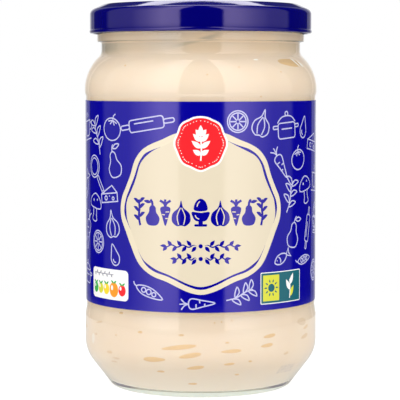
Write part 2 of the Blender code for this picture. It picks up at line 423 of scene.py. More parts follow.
# painted shade along the edge of the jar's floor, and painted light from below on the contents' floor
floorShade = {
    "line": (0.38, 0.35, 0.28), "lineHeight": 0.3, "lineFade": 0.3,
    "ends": (0.17, 0.14, 0.17), "endHeight": 0.6, "endAcross": (21.0, 27.0), "endDeep": (-14.0, -8.0),
    "floor": (0.61, 0.62, 0.555), "floorEdge": (30.4, 31.6), "floorTop": (6.0, 6.5),
}


def shadeNeck(tree, colour, place):
    # painted shade on the neck, mottled and greyer on its left side, a painted highlight on the bead, and
    # painted shade in the gap under the lid; a dark slanting streak crosses the neck
    x, _, z = tree.split(place)
    neck = z.between(*metres(neckShade["heights"]))
    bead = z.between(*metres(neckShade["beadHeights"]))
    shadeMottle = tree.noise(place, neckShade["shadeMottleScale"], 2.0)
    mottledShade = tree.mixColour(shadeMottle.between(*neckShade["shadeMottle"]), *neckShade["colours"])
    # painted shade on the neck, mottled
    colour = tree.mixColour(neck, colour, mottledShade)
    # more painted shade, grey, on the left of the neck
    grey = neck * (1 - bead * neckShade["greyAtBead"]) * (1 - x.between(*metres(neckShade["greySide"])))
    grey = grey * (neckShade["greyBase"] + shadeMottle * neckShade["greyMottle"])
    colour = tree.mixColour(grey.clamped(), colour, neckShade["grey"])
    # painted highlight: the bead made lighter
    colour = tree.mixColour(bead, colour, tree.vector("MULTIPLY", colour, (neckShade["beadLift"],) * 3))
    away = abs(z - neckShade["streakHeight"] * mm - x * neckShade["streakSlope"])
    streak = (1 - away.between(*metres(neckShade["streakThickness"]))) * neck
    streak = streak * x.band(*metres(neckShade["streakReach"]))
    colour = tree.mixColour(streak * neckShade["streakStrength"], colour, neckShade["streakColour"])
    # painted shade in the dark gap under the lid
    return tree.mixColour(z.between(*metres(neckShade["headHeights"])), colour, neckShade["headColour"])


def shadeEdges(tree, colour, place):
    # a tan line along both edges of the label: a painted shadow of its edges on the contents, made lighter
    # than the cream as a painted light that offsets the label's real shadow
    z = tree.split(place)[2]
    low, high, reach, lap = metres((label["bottom"], label["top"], edgeShade["reach"], edgeShade["lap"]))
    colour = tree.mixColour(z.band(low - reach, low, low, low + lap), colour, edgeShade["below"])
    return tree.mixColour(z.band(high - lap, high, high, high + reach), colour, edgeShade["above"])


def shadeFloor(tree, colour, place):
    # painted shade: a dark line round the edge of the jar's floor, seen through the thick base, darker at its
    # two ends; and a painted light from below on the contents' floor
    x, y, z = tree.split(place)
    ends = abs(x).between(*metres(floorShade["endAcross"])) * (1 - y.between(*metres(floorShade["endDeep"])))
    lineTop = (jar["floorHeight"] + floorShade["lineHeight"]) * mm + ends * (floorShade["endHeight"] * mm)
    line = 1 - (z - lineTop).between(0.0, floorShade["lineFade"] * mm)
    colour = tree.mixColour(line, colour, tree.mixColour(ends, floorShade["line"], floorShade["ends"]))
    fromAxis = tree.vector("LENGTH", tree.join(x, y, 0.0))
    inner = 1 - fromAxis.between(*metres(floorShade["floorEdge"]))
    low = 1 - z.between(*metres(floorShade["floorTop"]))
    return tree.mixColour(inner * low, colour, floorShade["floor"])


def contentsMaterial():
    material, tree = newMaterial("mayonnaiseCream")
    place = tree.place()
    mottle = tree.noise(place, contents["mottleScale"], 4.0).between(*contents["mottle"])
    colour = tree.mixColour(mottle, contents["cream"], contents["warmCream"])
    up = tree.split(place)[2].between(*metres(contents["lowHeights"]))
    colour = tree.mixColour(up, contents["lowCream"], colour)
    colour = shadeEdges(tree, shadeNeck(tree, colour, place), place)
    # painted shade of the stippled mould mark, on the contents behind the glass
    mark, dots = mouldMark(tree, place, markShade)
    marked = mark * (dots * markShade["dots"] + markShade["base"])
    colour = tree.mixColour(marked, colour, markShade["colour"])
    surface = tree.surface(shadeFloor(tree, colour, place), contents["roughness"], {
        "Specular IOR Level": 0.0, "Subsurface Weight": contents["scatter"],
        "Subsurface Radius": contents["scatterTint"], "Subsurface Scale": contents["scatterDepth"] * mm})
    finishMaterial(tree, surface)
    return material


def makeContents():
    edge = jar["mouthRadius"] + contents["intoWall"]
    top = [(edge * i / 8, contents["fillHeight"] + contents["crown"] * (1 - (i / 8) ** 2)) for i in range(9)]
    piece = turn("contents", top + jarInside(contents["intoWall"]), contentsMaterial())
    finishPiece(piece, "mayonnaise", "mayonnaise")
    print("contents: %d faces" % len(piece.data.polygons))


# Air pockets and a few painted glints: shallow lenses between the contents and the glass, laid out flat and
# then wrapped round

pockets = {
    # thick is half a lens, of which proud stands out and shownShare of the width shows
    "proud": 0.08, "thick": 0.15, "shownShare": 0.884, "fullness": 1.22, "taper": 0.18,
    "white": (0.88, 0.86, 0.82), "beige": (0.67, 0.51, 0.37),
    "tan": (0.69, 0.462, 0.25), "brown": (0.60, 0.41, 0.23),
    "fleckScale": 1500.0, "flecks": (0.58, 0.68), "fleckTones": (0.42, 0.48), "fleckDepth": 0.3,
    # at random round the back: lengths are shortest, spread and how much short ones prevail
    "seed": 11, "backAngles": (86, 274), "heelCount": 70, "heelHeights": (8.5, 28.0),
    "heelTones": (0.42, 0.6), "lengths": (1.0, 10.0, 2.2), "widths": (0.5, 0.16, 1.8),
    "widthPlay": (-0.1, 0.3), "tilts": (5, 4), "turnedShare": 0.3,
    "shoulderCount": 14, "shoulderHeights": (112, 124), "shoulderLengths": (0.6, 2.0),
    # on the front: angle from its middle, height, length, width, tilt, tone
    # a tone of 0 is white, 0.25 beige, 0.5 tan and 1 brown; the white and near-white ones are painted glints,
    # reflections on the glass, and the tan and brown of the real pockets are painted shade in their hollows
    "front": [
        (-43.4, 31.0, 2.0, 1.0, 5, 0.6), (-61.4, 26.1, 5.0, 0.8, 10, 0.3), (-31.2, 24.7, 2.1, 0.9, 4, 0.55),
        (-46.8, 22.6, 1.0, 0.7, 6, 0.4), (-9.5, 24.4, 2.1, 0.8, 1, 0.65), (6.8, 28.8, 0.6, 0.6, 0, 0.6),
        (10.3, 29.1, 0.65, 0.65, 0, 0.6), (15.4, 29.6, 0.75, 0.7, 0, 0.55), (36.2, 23.0, 5.4, 1.4, 6, 0.52),
        (34.6, 19.6, 5.4, 1.4, 5, 0.52), (13.0, 21.6, 1.5, 0.7, -2, 0.55), (-10.8, 19.9, 13.0, 1.75, 7, 0.5),
        (-5.2, 17.0, 8.2, 1.75, 10, 0.52), (-23.6, 15.2, 8.6, 1.7, 182, 0.55), (15.1, 18.4, 7.6, 1.4, 2, 0.5),
        (-2.6, 12.8, 6.2, 1.3, 6, 0.55), (14.3, 13.9, 4.0, 0.9, 4, 0.5), (25.3, 14.5, 1.5, 0.7, -4, 0.55),
        (-21.2, 11.1, 3.0, 0.7, 1, 0.48), (19.5, 10.0, 1.8, 0.7, -3, 0.45), (-4.6, 6.6, 3.4, 0.8, 1, 0.48),
        (-52.1, 15.9, 3.4, 1.0, 4, 0.34), (-47.5, 14.2, 3.8, 0.7, 0, 0.28), (-50.0, 12.9, 3.6, 0.6, 2, 0.28),
        (-65.0, 21.3, 2.6, 0.9, 8, 0.3), (47.5, 15.9, 2.6, 0.9, 8, 0.34), (65.3, 23.9, 4.2, 1.2, 12, 0.36),
        (64.0, 20.6, 5.6, 1.6, 8, 0.34), (60.7, 26.3, 6.4, 2.6, -7, 0.25), (-43.2, 121.3, 0.8, 0.6, 0, 0.55),
        (20.0, 120.9, 0.7, 0.5, -12, 0.5), (3.2, 118.4, 0.6, 0.5, 0, 0.6), (30.8, 111.0, 0.8, 0.8, 0, 0.6),
        (44.9, 119.2, 0.7, 0.5, 0, 0.5), (56.0, 122.2, 13.4, 2.3, -4, 0.75),
        (55.0, 121.7, 11.4, 1.4, -5, 0.52), (61.6, 122.2, 4.0, 0.9, -34, 0.0),
        (66.6, 121.6, 3.2, 0.8, -30, 0.0), (-68.5, 19.2, 4.0, 2.6, 80, 0.14),
        (31.3, 123.3, 2.0, 0.45, 2, 0.04),
    ],
}


def pocketTree():
    names = ["Reach", "Shoulder Height", "Shoulder Bend", "Heel Height", "Heel Bend", "Heel Angle"]
    tree, given = geometryTree("airPockets", {**dict.fromkeys(names, "Float"), "Material": "Material"})
    reach, shoulderHeight, shoulderBend, heelHeight, heelBend, heelAngle = [given[name] for name in names]
    ball = tree.add("GeometryNodeMeshUVSphere", {}, {"Segments": 28, "Rings": 10})
    x, y, z = tree.split(tree.add("GeometryNodeInputPosition"))
    tapered = z * (1 - pockets["taper"] + x * pockets["taper"])
    lens = tree.add("GeometryNodeSetPosition", {}, {"Geometry": ball, "Position": tree.join(x, y, tapered)})
    points = tree.add("GeometryNodeMeshToPoints", {}, {"Mesh": given["Geometry"]})
    tilt = tree.add("GeometryNodeInputNamedAttribute", {"data_type": "FLOAT"}, {"Name": "tilt"})
    size = tree.add("GeometryNodeInputNamedAttribute", {"data_type": "FLOAT_VECTOR"}, {"Name": "size"})
    copies = tree.add("GeometryNodeInstanceOnPoints", {}, {
        "Points": points, "Instance": lens, "Rotation": tree.join(0.0, tilt * -1.0, 0.0), "Scale": size})
    flat = tree.add("GeometryNodeRealizeInstances", {}, {"Geometry": copies})
    # the height sets how far the wall has drawn in on the shoulder or the heel
    up = (z - shoulderHeight).math("MAXIMUM", 0.0)
    down = (heelHeight - z).math("MAXIMUM", 0.0)
    bent = down.math("MINIMUM", heelBend * heelAngle.math("SINE"))
    radius = reach - y - (down - bent) * heelAngle.math("TANGENT")
    for bend, beyond in ((shoulderBend, up), (heelBend, bent)):
        radius = radius - bend + (bend * bend - beyond * beyond).math("SQRT")
    angle = x / reach
    wrapped = tree.join(radius * angle.math("SINE"), radius * angle.math("COSINE") * -1.0, z)
    laid = tree.add("GeometryNodeSetPosition", {}, {"Geometry": flat, "Position": wrapped})
    smooth = tree.add("GeometryNodeSetShadeSmooth", {}, {"Geometry": laid})
    return closeTree(tree, smooth, given["Material"])


def pocketShadeAndGlintMaterial():
    material, tree = newMaterial("pocketShadeAndGlint")
    tone = tree.add("ShaderNodeAttribute", {"attribute_name": "tone"}, {}, "Fac")
    fleck = tree.noise(tree.place(), pockets["fleckScale"], 1.0).between(*pockets["flecks"])
    tone = tone + fleck * tone.between(*pockets["fleckTones"]) * pockets["fleckDepth"]
    # white is a painted glint; beige, tan and brown are painted shade in the pocket
    colour = tree.mixColour((tone * 4.0).clamped(), pockets["white"], pockets["beige"])
    colour = tree.mixColour((tone * 4.0 - 1.0).clamped(), colour, pockets["tan"])
    colour = tree.mixColour((tone * 2.0 - 1.0).clamped(), colour, pockets["brown"])
    finishMaterial(tree, tree.surface(colour, 0.5, {"Specular IOR Level": 0.0}))
    return material


def wallCurve():
    # radius of the contents, and the bends of their shoulder and heel
    reach = jar["innerRadius"] + contents["intoWall"]
    shoulderBend = reach - jar["bodyRadius"] + jar["shoulderBend"]
    heelBend = reach - jar["heelRadius"] + jar["heelBend"]
    return reach, shoulderBend, heelBend


def wallRadius(height):
    reach, shoulderBend, heelBend = wallCurve()
    up = max(height - jar["shoulderHeight"], 0.0)
    down = max(jar["heelHeight"] - height, 0.0)
    bent = min(down, heelBend * sin(radians(jar["heelAngle"])))
    radius = reach - (down - bent) * tan(radians(jar["heelAngle"]))
    for bend, beyond in ((shoulderBend, up), (heelBend, bent)):
        radius += sqrt(bend ** 2 - beyond ** 2) - bend
    return radius


def backPockets():
    # rows like the front ones, at random over the sides and the back
    draw = random.Random(pockets["seed"])
    shortest, spread, favour = pockets["lengths"]
    narrow, growth, widest = pockets["widths"]
    rows = []
    for _ in range(pockets["heelCount"]):
        angle = draw.uniform(*pockets["backAngles"])
        length = shortest + spread * draw.random() ** favour
        width = min(widest, narrow + growth * length + draw.uniform(*pockets["widthPlay"]))
        height = draw.uniform(*pockets["heelHeights"])
        tilt = draw.gauss(*pockets["tilts"]) + 180 * (draw.random() < pockets["turnedShare"])
        rows.append((angle, height, length, width, tilt, draw.uniform(*pockets["heelTones"])))
    for _ in range(pockets["shoulderCount"]):
        rows.append((draw.uniform(*pockets["backAngles"]), draw.uniform(*pockets["shoulderHeights"]),
                     draw.uniform(*pockets["shoulderLengths"]), 0.6, 0, 0.55))
    return rows


def makePockets():
    rows = pockets["front"] + backPockets()
    reach, shoulderBend, heelBend = wallCurve()
    inwards = pockets["thick"] - pockets["proud"]
    places, sizes, tilts, tones = [], [], [], []
    for angle, height, length, width, tilt, tone in rows:
        places.append((reach * radians(angle) * mm, inwards * mm, height * mm))
        stretch = reach / wallRadius(height) / pockets["shownShare"]
        across = width * pockets["fullness"] / pockets["shownShare"]
        sizes += [length / 2 * stretch * mm, pockets["thick"] * mm, across / 2 * mm]
        tilts.append(radians(tilt))
        tones.append(tone)
    seedMesh = bpy.data.meshes.new("pocketPlaces")
    seedMesh.from_pydata(places, [], [])
    seedMesh.attributes.new("size", "FLOAT_VECTOR", "POINT").data.foreach_set("vector", sizes)
    seedMesh.attributes.new("tilt", "FLOAT", "POINT").data.foreach_set("value", tilts)
    seedMesh.attributes.new("tone", "FLOAT", "POINT").data.foreach_set("value", tones)
    values = {
        "Reach": reach * mm, "Shoulder Height": jar["shoulderHeight"] * mm,
        "Shoulder Bend": shoulderBend * mm, "Heel Height": jar["heelHeight"] * mm,
        "Heel Bend": heelBend * mm, "Heel Angle": radians(jar["heelAngle"]), "Material": pocketShadeAndGlintMaterial()}
    piece = grow("airPockets", seedMesh, pocketTree(), values)
    finishPiece(piece, "mayonnaise", "mayonnaise")
    print("air pockets: %d" % len(rows))


# Lid

lid = {
    "radius": 42.3, "bottom": 134.3, "top": 145.35, "wall": 0.35,
    "curlBend": 0.8, "curlProud": 0.2, "cornerHeight": 141.55, "cornerBend": 2.3,
    "skirt": (2.0, 4.0), "skirtInside": 2.6, "topSlope": 25.0,
    "crestRadius": 37.0, "crestBend": 1.1, "crestEnd": 150,
    "panelRadius": 34.5, "panelDrop": 1.35, "panelCorner": [(0.25, 0.06), (0.8, 0.0)],
    "ringRadius": 27.0, "buttonRadius": 13.5,
    "stampDrop": 0.4, "stampEdge": 1.2,
    "navy": (0.0006, 0.0003, 0.114), "roughness": 0.06, "sheen": (0.85, 0.68, 1.0), "peelScale": 500.0,
}


def lidTop(drop):
    base = lid["top"] - lid["panelDrop"] - drop
    step = lid["stampDrop"]
    edge = lid["stampEdge"]
    points = [(lid["panelRadius"] - inwards, base + up) for inwards, up in lid["panelCorner"]]
    for radius in (lid["ringRadius"], lid["buttonRadius"]):
        points += [(r, base + h - step) for r, h in wave(radius, radius - edge, step, 0.0, 6)]
        base -= step
    return points + [(0.0, base)]


def lidOutline():
    bend = lid["curlBend"]
    curl = (lid["radius"] + lid["curlProud"] - bend, lid["bottom"] + bend, bend)
    corner = (lid["radius"] - lid["cornerBend"], lid["cornerHeight"])
    crest = (lid["crestRadius"], lid["top"] - lid["crestBend"])
    slope = 90 - lid["topSlope"]
    outside = arc(*curl, -90, 50, 10)
    outside += [(lid["radius"], lid["bottom"] + up) for up in lid["skirt"]]
    outside += arc(*corner, lid["cornerBend"], 0, slope, 14)
    outside += arc(*crest, lid["crestBend"], slope, lid["crestEnd"], 12)
    outside += lidTop(0.0)
    inside = lidTop(lid["wall"])[::-1]
    inside += arc(*crest, lid["crestBend"] - lid["wall"], lid["crestEnd"], slope, 6)
    inside += arc(*corner, lid["cornerBend"] - lid["wall"], slope, 0, 8)
    inside.append((lid["radius"] - lid["wall"], lid["bottom"] + lid["skirtInside"]))
    inside += arc(*curl, 120, 250, 9)
    return outside + inside


def enamelMaterial():
    material, tree = newMaterial("navyEnamel")
    normal = tree.bump(tree.noise(tree.place(), lid["peelScale"], 2.0), 0.1, 0.1)
    finishMaterial(tree, tree.surface(lid["navy"], lid["roughness"], {
        "IOR": 1.5, "Specular Tint": (*lid["sheen"], 1.0), "Normal": normal}))
    return material


def makeLid():
    piece = turn("twistLid", lidOutline(), enamelMaterial(), closed=True)
    finishPiece(piece, "lid", "lid")
    print("lid: %d faces" % len(piece.data.polygons))


# Label: a flat artwork in mm, cut into plain fields of colour and wrapped round the jar

paints = {
    "blue": (0.0014, 0.0006, 0.25), "cream": (0.64, 0.56, 0.418), "paleCream": (0.68, 0.598, 0.445),
    "grey": (0.20, 0.21, 0.26), "red": (0.87, 0.020, 0.026), "white": (0.84, 0.82, 0.80),
    "lilac": (0.46, 0.46, 0.66), "teal": (0.012, 0.11, 0.14), "lime": (0.60, 0.60, 0.05),
    "green": (0.05, 0.36, 0.08), "orange": (0.80, 0.28, 0.02), "yellow": (0.82, 0.58, 0.03),
}
artwork = []  # (paint, loops) pairs, later ones on top


def fill(paint, *loops):
    artwork.append((paint, loops))


def ellipse(x, y, radius, squash=1.0, count=32):
    turns = [2 * pi * i / count for i in range(count)]
    return [(x + radius * cos(t), y + radius * squash * sin(t)) for t in turns]


def box(left, low, right, high, bend, steps=4):
    corners = [(right - bend, high - bend, 0), (left + bend, high - bend, 90),
               (left + bend, low + bend, 180), (right - bend, low + bend, 270)]
    return [p for x, y, start in corners for p in arc(x, y, bend, start, start + 90, steps)]


def smoothPath(points, closed=False, steps=5):
    # a Catmull-Rom curve through the points
    count = len(points)
    spans = count if closed else count - 1
    path = []
    for i in range(spans):
        near = [(i + k) % count if closed else min(max(i + k, 0), count - 1) for k in (-1, 0, 1, 2)]
        a, b, c, d = [Vector(points[k]) for k in near]
        for k in range(steps):
            t = k / steps
            path.append(tuple(0.5 * (2 * b + (c - a) * t + (2 * a - 5 * b + 4 * c - d) * t * t
                                     + (3 * b - a - 3 * c + d) * t ** 3)))
    return path if closed else path + [tuple(points[-1])]


def sideways(points, closed, mitreLimit=0.55):
    # the mitred normal at each point
    count = len(points)
    normals = []
    for i in range(count):
        before = Vector(points[i]) - Vector(points[i - 1]) if closed or i > 0 else None
        after = Vector(points[(i + 1) % count]) - Vector(points[i]) if closed or i < count - 1 else None
        legs = [leg.normalized() for leg in (before, after) if leg is not None and leg.length > 1e-6]
        way = sum(legs, Vector((0.0, 0.0)))
        way = way.normalized() if way.length > 1e-4 else legs[0]
        stretch = max(mitreLimit, way.dot(legs[0]))
        normals.append(Vector((-way.y, way.x)) / stretch)
    return normals


def ribbon(paint, points, widths, closed=False):
    # a line of even or changing width; a closed one is a ring of two loops
    if not isinstance(widths, list):
        widths = [widths] * len(points)
    sides = sideways(points, closed)
    left = [tuple(Vector(p) + n * w / 2) for p, n, w in zip(points, sides, widths)]
    right = [tuple(Vector(p) - n * w / 2) for p, n, w in zip(points, sides, widths)]
    if closed:
        fill(paint, left, right[::-1])
    else:
        fill(paint, right + left[::-1])


# Kitchen motifs in line, each about 8 to 14 mm: lists of (kind, points)

motifs = {
    "rollingPin": [("poly", box(-5.5, -1.7, 5.5, 1.7, 0.8)), ("poly", box(5.5, -0.6, 8.6, 0.6, 0.55)),
                   ("poly", box(-8.6, -0.6, -5.5, 0.6, 0.55)), ("line", [(-3.8, 0.6), (2.5, 0.6)])],
    "pan": [("poly", ellipse(-2.6, 0, 3.6)), ("poly", ellipse(-2.6, 0, 2.7)),
            ("poly", box(1.2, -0.6, 8.0, 0.6, 0.55)), ("disc", (7.0, 0, 0.28))],
    "lemon": [("poly", ellipse(0, 0, 3.6)), ("poly", ellipse(0, 0, 2.9))]
             + [("line", [(0.5 * cos(t), 0.5 * sin(t)), (2.6 * cos(t), 2.6 * sin(t))])
                for t in [pi * k / 4 for k in range(8)]],
    "sprig": [("curve", [(-0.6, -6.5), (0.2, -2.5), (-0.2, 1.5), (0.3, 5.0)])]
             + [("loop", [(0, y), (1.5 * way, y + 0.4), (3.4 * way, y + 2.2), (1.2 * way, y + 2.2)])
                for y, way in ((-4.2, 1), (-2.8, -1), (-0.4, 1), (1.0, -1), (3.2, 1), (3.6, -1))],
    "carrot": [("loop", [(0, -7.0), (-1.3, -2.0), (-2.1, 2.4), (0, 3.6), (2.1, 2.4), (1.3, -2.0)]),
               ("curve", [(0, 3.6), (-0.6, 5.2), (-2.2, 6.6)]), ("curve", [(0, 3.6), (0.1, 5.4), (0, 7.2)]),
               ("curve", [(0, 3.6), (0.6, 5.2), (2.2, 6.6)]), ("vein", [(-1.6, 0.6), (-0.1, 0.5)]),
               ("vein", [(1.4, -0.9), (0.2, -1.0)]), ("vein", [(-1.0, -2.9), (0.0, -3.0)])],
    "mushroom": [("loop", [(-4.0, 0.2), (-3.4, 2.8), (0, 4.6), (3.4, 2.8), (4.0, 0.2), (0, -0.3)]),
                 ("curve", [(-1.3, -0.2), (-1.2, -2.4), (-1.7, -4.2), (0, -4.8), (1.7, -4.2), (1.2, -2.4),
                            (1.3, -0.2)]), ("disc", (-1.4, 2.2, 0.45)), ("disc", (1.3, 2.7, 0.35))],
    "drop": [("loop", [(0, 4.2), (1.5, 1.2), (2.3, -1.2), (1.6, -3.2), (0, -3.9), (-1.6, -3.2),
                       (-2.3, -1.2), (-1.5, 1.2)]), ("curve", [(-1.2, -1.2), (-0.9, -2.3), (0, -2.8)])],
    "pot": [("poly", box(-4.2, -3.6, 4.2, 1.6, 1.0)),
            ("curve", [(-4.4, 1.7), (-2.6, 3.4), (0, 3.9), (2.6, 3.4), (4.4, 1.7)]),
            ("poly", ellipse(0, 4.6, 0.7)), ("poly", box(-6.3, -0.2, -4.2, 0.8, 0.4)),
            ("poly", box(4.2, -0.2, 6.3, 0.8, 0.4)), ("line", [(-2.6, -0.4), (2.6, -0.4)])],
    "pear": [("loop", [(0, 3.4), (1.3, 2.4), (1.6, 0.4), (3.0, -2.0), (2.2, -4.6), (0, -5.2), (-2.2, -4.6),
                       (-3.0, -2.0), (-1.6, 0.4), (-1.3, 2.4)]),
             ("curve", [(0, 3.2), (0.2, 4.6), (0.9, 5.6)]),
             ("loop", [(0.6, 4.4), (2.0, 5.4), (3.8, 5.0), (2.2, 4.0)])],
    "tomato": [("poly", ellipse(0, -0.6, 3.9, 0.86)), ("curve", [(0, 2.3), (0.2, 3.5), (0.9, 4.2)])]
              + [("line", [(0, 2.1), (2.1 * cos(t), 2.0 + 1.4 * sin(t))])
                 for t in [radians(a) for a in (-20, -62, -118, -160)]],
    "garlic": [("loop", [(0, 5.4), (0.8, 2.9), (3.0, 0.8), (3.3, -2.0), (1.6, -3.7), (0, -3.5), (-1.6, -3.7),
                         (-3.3, -2.0), (-3.0, 0.8), (-0.8, 2.9)]),
               ("vein", [(0.2, 2.8), (1.4, -0.2), (0.9, -3.2)]),
               ("vein", [(-0.2, 2.8), (-1.4, -0.2), (-0.9, -3.2)])],
    "cheese": [("poly", [(-4.8, -2.6), (4.8, -2.6), (4.8, 0.6), (-4.8, 0.6)]),
               ("line", [(-4.8, 0.6), (2.2, 3.4), (4.8, 0.6)]), ("poly", ellipse(-1.8, -1.0, 0.75)),
               ("poly", ellipse(2.4, -1.4, 0.55)), ("disc", (0.4, -0.4, 0.28))],
    "cup": [("curve", [(-3.0, 2.2), (-2.6, -1.2), (-1.4, -2.6), (1.4, -2.6), (2.6, -1.2), (3.0, 2.2)]),
            ("line", [(-3.4, 2.2), (3.4, 2.2)]),
            ("curve", [(2.9, 1.4), (4.7, 1.3), (4.5, -0.6), (2.6, -0.9)]),
            ("line", [(-4.0, -3.9), (4.0, -3.9)]), ("curve", [(-0.9, 3.3), (-0.5, 4.1), (-0.9, 4.9)]),
            ("curve", [(0.7, 3.3), (1.1, 4.1), (0.7, 4.9)])],
    "fish": [("loop", [(-4.6, 0), (-2.2, 2.0), (1.2, 1.9), (3.6, 0), (1.2, -1.9), (-2.2, -2.0)]),
             ("line", [(3.4, 0.1), (6.0, 2.2), (5.3, 0), (6.0, -2.2), (3.4, -0.1)]),
             ("disc", (-3.0, 0.4, 0.32)),
             ("curve", [(-1.4, 1.5), (-0.8, 0), (-1.4, -1.5)])],
    "eggCup": [("poly", box(-2.3, 0.0, 2.3, 0.9, 0.35)), ("poly", box(-0.8, 0.8, 0.8, 2.2, 0.1)),
               ("loop", [(-3.1, 5.3), (-2.9, 3.6), (-1.6, 2.0), (1.6, 2.0), (2.9, 3.6), (3.1, 5.3),
                         (0, 5.0)]),
               ("loop", [(-2.3, 5.9), (-2.4, 7.4), (-1.5, 9.3), (0, 10.1), (1.5, 9.3), (2.4, 7.4), (2.3, 5.9),
                         (0, 5.5)]),
               ("vein", [(-1.3, 7.2), (-1.0, 8.3), (-0.3, 9.1)]),
               ("vein", [(-2.0, 4.1), (-1.5, 3.2), (-0.6, 2.7)])],
    "pod": [("loop", [(-6.2, 0.6), (-3.0, 2.0), (1.6, 1.8), (6.2, -0.6), (2.0, -1.6), (-3.2, -1.4)]),
            ("poly", ellipse(-2.6, 0.3, 0.95)), ("poly", ellipse(-0.2, 0.3, 1.05)),
            ("poly", ellipse(2.2, 0.0, 0.85)), ("curve", [(-6.0, 0.6), (-7.2, 1.0), (-8.0, 2.0)])],
}


def stamp(name, x, y, turnBy=0.0, size=1.0, paint="lilac", width=0.46):
    c, s = cos(radians(turnBy)) * size, sin(radians(turnBy)) * size

    def put(points):
        return [(x + c * px - s * py, y + s * px + c * py) for px, py in points]

    for kind, points in motifs[name]:
        if kind == "disc":
            cx, cy, radius = points
            fill(paint, put(ellipse(cx, cy, radius, count=10)))
        elif kind in ("loop", "curve", "vein"):
            ribbon(paint, put(smoothPath(points, kind == "loop")), width, kind == "loop")
        else:
            ribbon(paint, put(points), width, kind == "poly")


frontMotifs = [
    ("rollingPin", -20.6, 68.0, 9, 1.3), ("tomato", -36.6, 66.6, -10, 1.22), ("sprig", -46.8, 63.4, 24, 1.15),
    ("pear", -35.6, 54.0, 15, 1.12), ("pan", -47.4, 49.4, -52, 1.15), ("cheese", -38.6, 41.6, 6, 1.0),
    ("mushroom", -48.6, 36.6, -8, 1.12), ("garlic", -36.6, 30.2, 8, 1.08), ("lemon", -46.2, 23.8, 0, 1.15),
    ("drop", -35.4, 19.6, 18, 1.0), ("carrot", -56.5, 27.5, -14, 1.1), ("cup", -57.5, 66.0, 8, 1.15),
    ("fish", -59.5, 43.5, 62, 1.1), ("pod", -19.4, 6.8, -17, 0.92), ("carrot", -1.2, 3.3, 92, 0.9),
    ("sprig", 15.2, 6.4, -66, 0.95), ("lemon", 13.6, 69.0, 0, 1.08), ("garlic", 23.0, 67.6, -16, 1.06),
    ("pot", 35.2, 66.6, 4, 1.1), ("drop", 46.0, 66.4, -12, 1.0), ("carrot", 31.8, 53.6, 32, 0.9),
    ("tomato", 42.2, 55.2, 8, 1.1), ("cheese", 55.0, 60.5, -8, 1.1), ("sprig", 37.4, 41.8, -14, 1.05),
    ("mushroom", 48.0, 43.2, 10, 1.1), ("pear", 39.2, 27.8, -10, 1.08), ("rollingPin", 50.0, 28.6, 76, 0.92),
    ("fish", 32.6, 18.6, 26, 0.8), ("pod", 47.2, 17.0, 12, 0.8), ("cup", 59.0, 46.4, -6, 1.1),
    ("eggCup", 59.5, 26.0, -6, 1.15), ("lemon", 58.0, 12.0, 0, 1.1), ("pot", -58.6, 10.8, -4, 0.95),
]
backNames = ["pear", "pan", "lemon", "mushroom", "sprig", "cheese", "carrot", "pot", "drop", "tomato",
             "rollingPin", "garlic", "cup", "fish", "pod"]
field = {
    "outline": [(0, 6.6), (-5.3, 7.8), (-12.3, 11.0), (-17.6, 12.8), (-21.6, 15.2), (-24.5, 18.4),
                (-27.5, 24.4), (-29.4, 28.6), (-31.5, 33.2), (-32.0, 37.4), (-31.2, 41.4), (-29.5, 44.8),
                (-27.3, 49.4), (-25.4, 54.6), (-22.6, 58.3), (-19.0, 60.6), (-14.3, 62.5), (-8.3, 65.0),
                (0, 66.0)],
    "middle": 36.3, "band": 2.3, "accent": 1.05, "accentSwell": (0.3, 1.5),
    "accents": [(-0.162, 0.162), (0.2, 0.45), (0.54, 0.8)],
}
badge = {
    "height": 61.0, "size": (0.309, 0.338), "rim": 0.7, "beadsIn": 1.7, "beadRadius": 0.19,
    "stem": [(0.0, -6.0), (0.25, -2.0), (0.0, 3.6)], "stemWidth": 0.55,
    "leaves": [(-3.9, 3.4), (-1.5, 4.3), (0.9, 4.0), (2.9, 3.0)], "topLeaf": (3.4, 3.4, 1.7),
    "leafWidth": 1.9, "leafAngle": 58, "leafTurn": 6,
}
frieze = {"base": 31.3, "stroke": 0.9, "vein": 0.36, "motifs": [
    ("eggCup", 0.0, 1.0, 1.0, 0.0), ("garlic", 7.1, 1.02, 1.0, 3.9), ("carrot", 12.95, 0.68, 1.36, 4.8),
    ("pear", 17.9, 0.88, 1.04, 4.6), ("sprig", 23.4, 0.82, 0.86, 5.3)]}
flourish = {
    "rows": [(24.2, 14.6), (19.6, 10.8)], "dot": 0.8, "stem": 0.5, "stemStart": 1.3, "stemWave": (0.4, 0.8),
    "leafStart": 1.6, "leafStep": 1.8, "leafLift": 0.1, "leafAngle": 50, "leafLength": 2.7,
    "leafShrink": 0.06, "leafWidth": 1.35, "tipGap": 2.0, "tipLeaf": (2.4, 1.1),
}
fruitPanel = {
    "shape": (-50.6, 2.9, -28.4, 14.2, 1.7), "fruitHeight": 6.7, "glintHeight": 7.4, "leafHeight": 6.6,
    "fruit": [("green", -47.9, 1.75), ("lime", -44.2, 1.75), ("yellow", -40.4, 1.85), ("orange", -35.9, 2.45),
              ("red", -31.5, 1.85)],
    "garland": [(-49.0, 12.2), (-36.0, 12.2)], "garlandLeaf": (-48.6, 1.4, 1.3, 0.7),
}
sunPanel = {
    "layers": [("white", (22.8, 2.2, 43.6, 13.9, 0.5)), ("teal", (23.1, 2.5, 43.3, 13.6, 0.3)),
               ("lime", (23.9, 3.3, 31.4, 12.8, 0.2))],
    "sun": (27.65, 8.1), "sunRadius": 1.5, "rayStart": 1.9, "raySize": (1.4, 0.6),
    "leaves": [(4.2, 62, "lime"), (6.6, 118, "white"), (8.6, 66, "white")],
    "leafFoot": 37.2, "leafSize": (4.6, 1.8),
    "stem": [(37.0, 3.6), (37.3, 7.0), (37.0, 10.6)], "stemWidth": 0.4,
}
